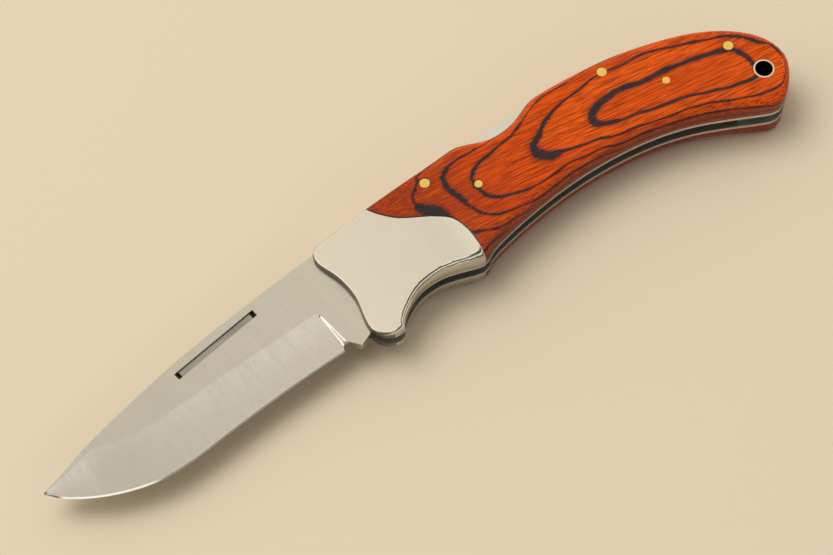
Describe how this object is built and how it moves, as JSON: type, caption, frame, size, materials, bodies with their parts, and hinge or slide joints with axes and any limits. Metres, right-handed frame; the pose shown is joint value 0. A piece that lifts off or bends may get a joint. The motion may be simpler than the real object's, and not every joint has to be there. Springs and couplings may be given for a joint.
{
  "type": "folding pocket knife",
  "caption": "Folding pocket knife lying open, with a drop point blade, steel bolsters, red laminated wood scales, a lock bar along the back and a lanyard tube.",
  "frame": {"origin": "on the rear face that the knife lies on, under the wood, 50 mm towards the butt from the blade pivot", "axes": "+X from the blade's tip to the butt, +Y from the cutting edge to the back of the knife, +Z from the rear face to the front face"},
  "size_m": [0.1979, 0.0364, 0.014],
  "materials": {
    "blade_steel": "satin, with fine grinding lines across the bevel",
    "bolster_steel": "polished",
    "lock_steel": "polished along the back",
    "liner_steel": "satin edges",
    "spacer_steel": "dull, ground flush at the back and the butt",
    "spring_steel": "dull",
    "pin_steel": "satin",
    "brass": "dressed flush and polished",
    "red_wood": "red dyed laminate with dark glue lines, satin sealed"
  },
  "bodies": {
    "handle": {"lock_spring": "spring_steel", "back_spacer": "spacer_steel", "blade_pivot_pin": "pin_steel", "lanyard_tube": "brass", "lock_bar_pin": "brass", "spacer_pin_mid": "brass", "spacer_pin_butt": "brass", "front_liner": "liner_steel", "rear_liner": "liner_steel", "front_bolster": "bolster_steel", "rear_bolster": "bolster_steel", "front_scale": "red_wood", "rear_scale": "red_wood", "front_pivot_washer": "brass", "rear_pivot_washer": "brass", "front_scale_rivet_forward": "brass", "rear_scale_rivet_forward": "brass", "front_scale_rivet_rear": "brass", "rear_scale_rivet_rear": "brass", "front_bolster_rivet_spine": "pin_steel", "rear_bolster_rivet_spine": "pin_steel", "front_bolster_rivet_edge": "pin_steel", "rear_bolster_rivet_edge": "pin_steel"},
    "blade": {"blade": "blade_steel"},
    "lock_bar": {"lock_bar": "lock_steel"}
  },
  "joints": [
    {"name": "blade_fold", "type": "hinge", "parent": "handle", "child": "blade", "pos_m": [-0.05, 0, 0.007], "axis": [0, 0, 1], "range_deg": [0, 172]},
    {"name": "lock_release", "type": "hinge", "parent": "handle", "child": "lock_bar", "pos_m": [-0.0304, 0.0105, 0.007], "axis": [0, 0, 1], "range_deg": [0, 3], "stiffness_Nm_per_rad": 0.5, "springref_deg": 3}
  ]
}
